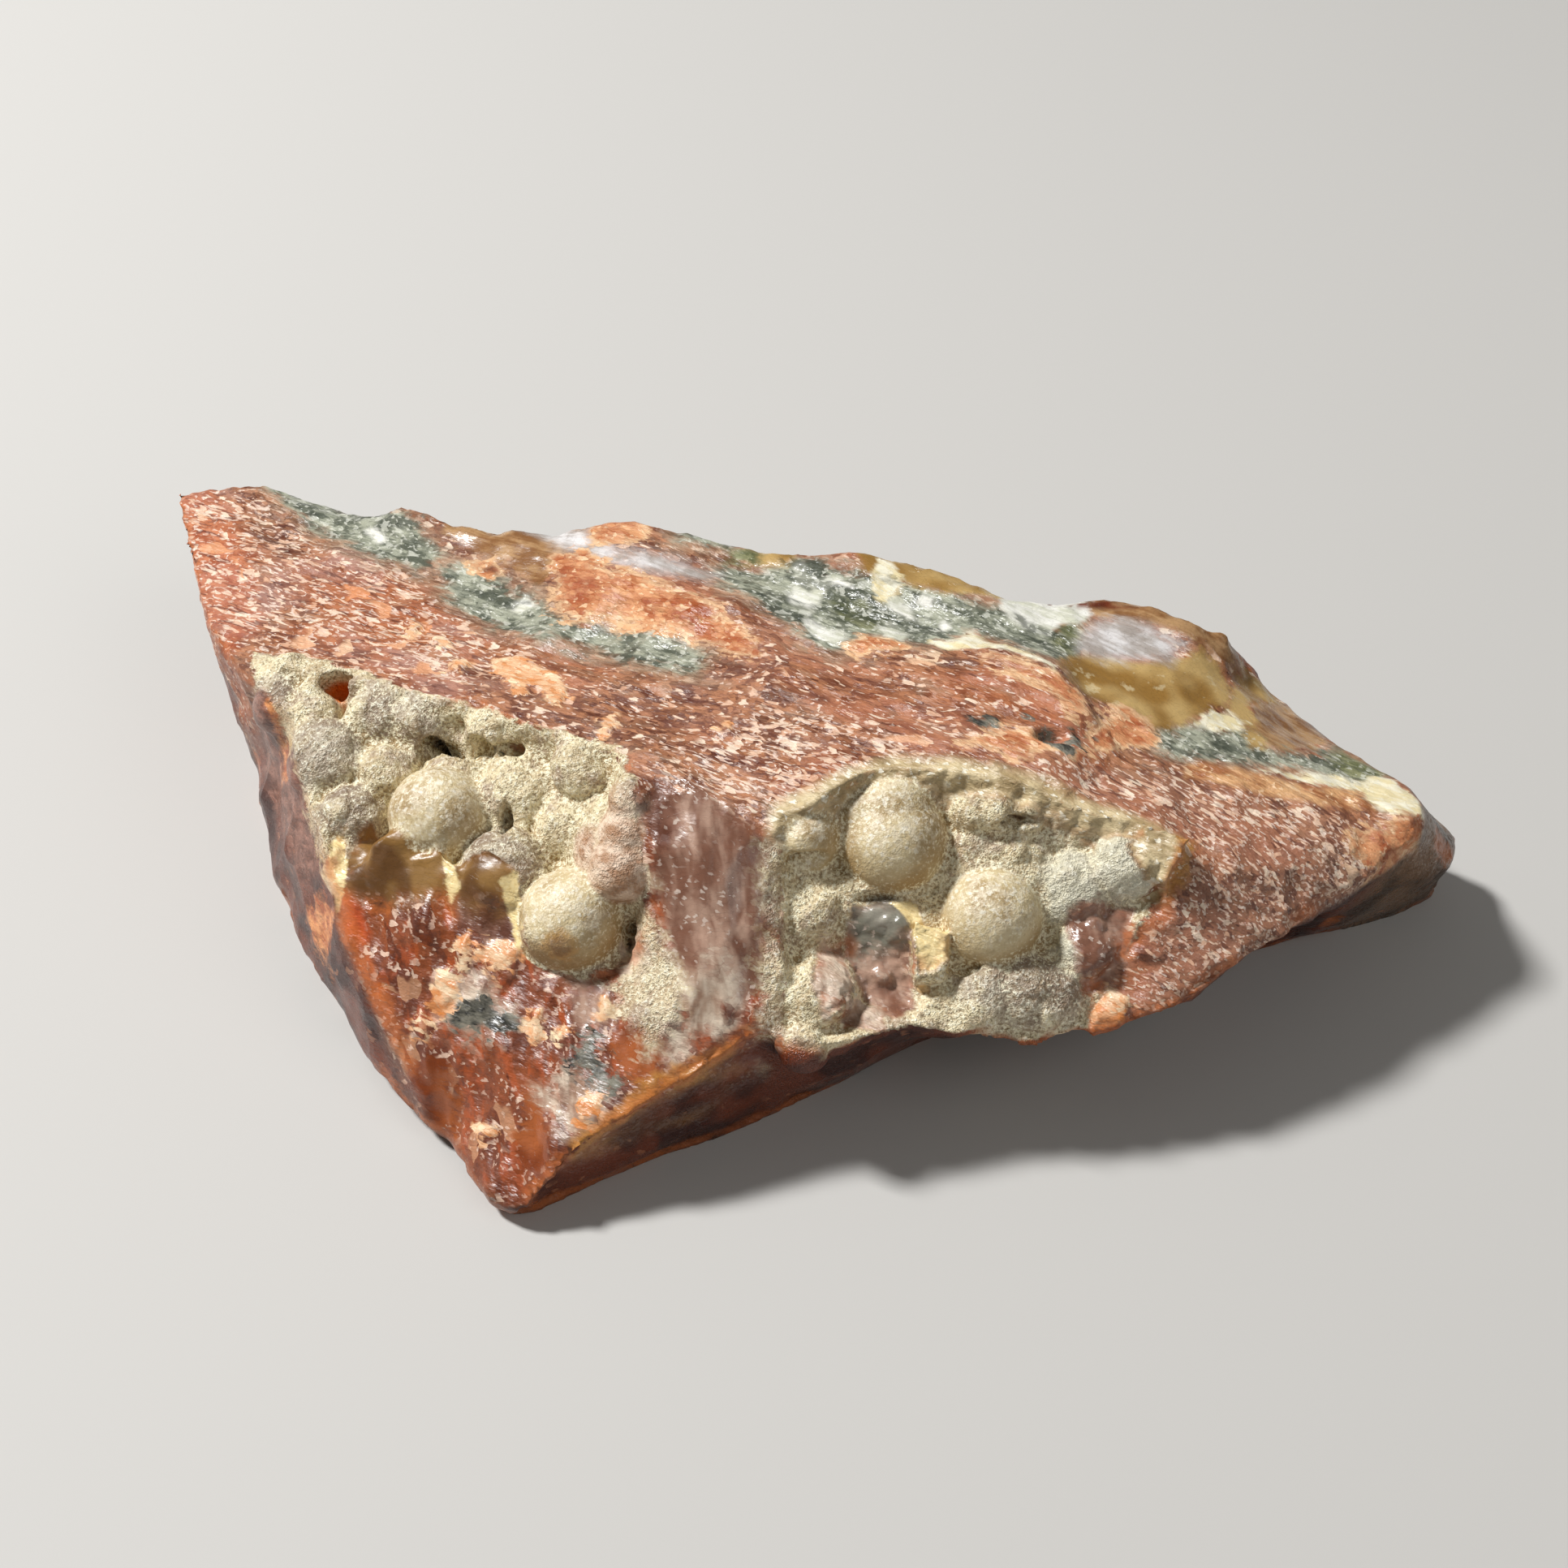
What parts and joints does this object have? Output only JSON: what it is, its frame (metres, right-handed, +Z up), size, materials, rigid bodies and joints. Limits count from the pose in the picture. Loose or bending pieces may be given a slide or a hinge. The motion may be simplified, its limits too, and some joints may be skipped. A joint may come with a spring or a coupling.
{
  "type": "rough ocean jasper",
  "caption": "Rough broken chunk of red-brown ocean jasper with a grey and white chalcedony band and open pockets lined with round botryoidal orbs.",
  "frame": {"origin": "centre of the stone's outline on the surface it rests on", "axes": "+X along the long axis, towards the blunt end; +Y towards the steep back; +Z up"},
  "size_m": [0.0846, 0.0534, 0.0186],
  "materials": {
    "jasper": "rough broken"
  },
  "bodies": {
    "root": {"ocean_jasper": "jasper"}
  },
  "joints": []
}
